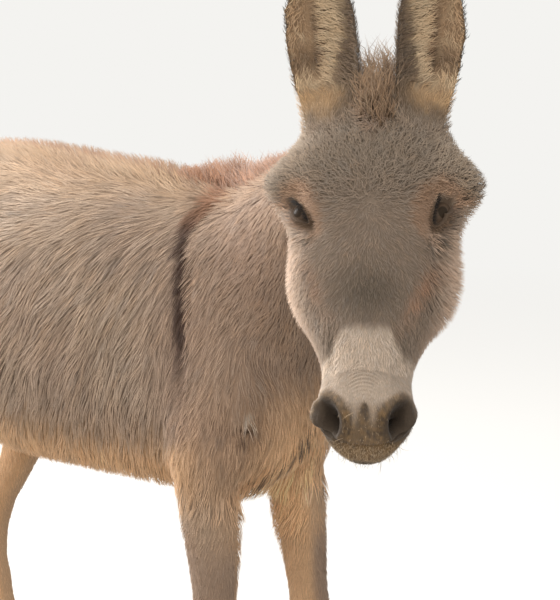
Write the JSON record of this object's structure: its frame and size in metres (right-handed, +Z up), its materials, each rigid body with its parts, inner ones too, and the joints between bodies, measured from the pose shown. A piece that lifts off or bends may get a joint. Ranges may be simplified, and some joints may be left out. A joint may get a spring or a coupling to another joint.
{
  "type": "donkey",
  "caption": "Standing woolly donkey in a long grey-dun winter coat, head turned to its right, with upright ears, short mane and dark shoulder cross.",
  "frame": {"origin": "centre of the model's footprint, at the level of the soles", "axes": "+Y runs from the donkey's head end to its tail, so it faces -Y; +Z is up and +X is the donkey's left"},
  "size_m": [0.5536, 1.6722, 1.5082],
  "materials": {
    "coat": "long grey-dun winter hair",
    "muzzle": "short cream hair round dusty dark grey lips and nostrils",
    "mane": "short upright dark brown hair",
    "hoof": "dull grey-brown horn",
    "eye": "wet and dark"
  },
  "bodies": {
    "root": {"chin": "muzzle", "ear_left": "coat", "ear_right": "coat", "eye_left": "eye", "eye_right": "eye", "foreleg_left": "coat", "foreleg_right": "coat", "head": "coat", "hindleg_left": "coat", "hindleg_right": "coat", "hoof_fore_left": "hoof", "hoof_fore_right": "hoof", "hoof_hind_left": "hoof", "hoof_hind_right": "hoof", "mane": "mane", "muzzle": "muzzle", "neck": "coat", "tail": "coat", "tail_switch": "mane", "trunk": "coat"}
  },
  "joints": []
}
